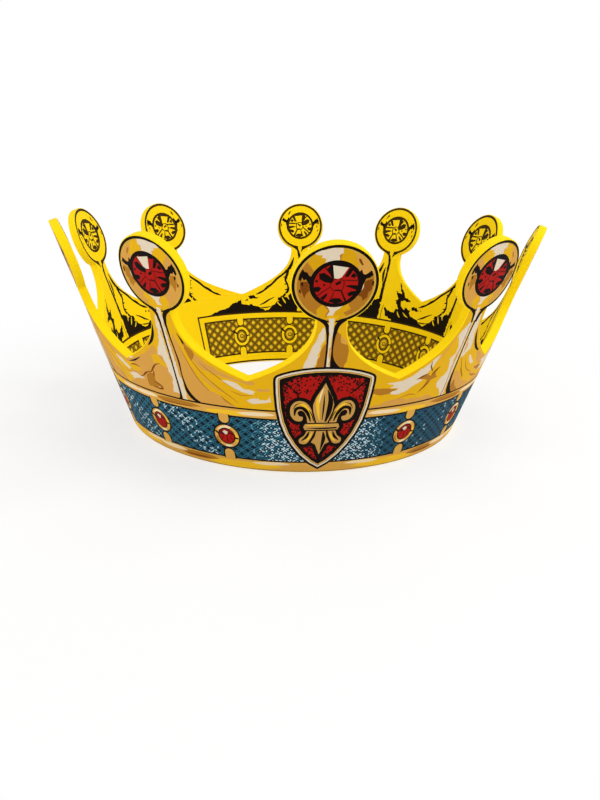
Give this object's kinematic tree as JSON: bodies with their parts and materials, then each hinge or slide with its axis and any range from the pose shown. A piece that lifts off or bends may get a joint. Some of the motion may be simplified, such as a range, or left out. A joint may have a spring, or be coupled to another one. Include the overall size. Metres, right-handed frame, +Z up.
{
  "type": "foam toy crown",
  "caption": "Child's play crown of thick printed foam: a flared ring with ball-tipped points, rolled from one die-cut sheet and closed by a glued lap.",
  "frame": {"origin": "centre of the crown's box, on the plane that its lower edge stands on", "axes": "+Z up through the ring, -Y towards the front point with the shield, +X to the right of someone who looks at the front"},
  "size_m": [0.2558, 0.2586, 0.1093],
  "materials": {
    "foam": "matt closed-cell foam, printed on both faces"
  },
  "bodies": {
    "root": {"crown": "foam"}
  },
  "joints": []
}
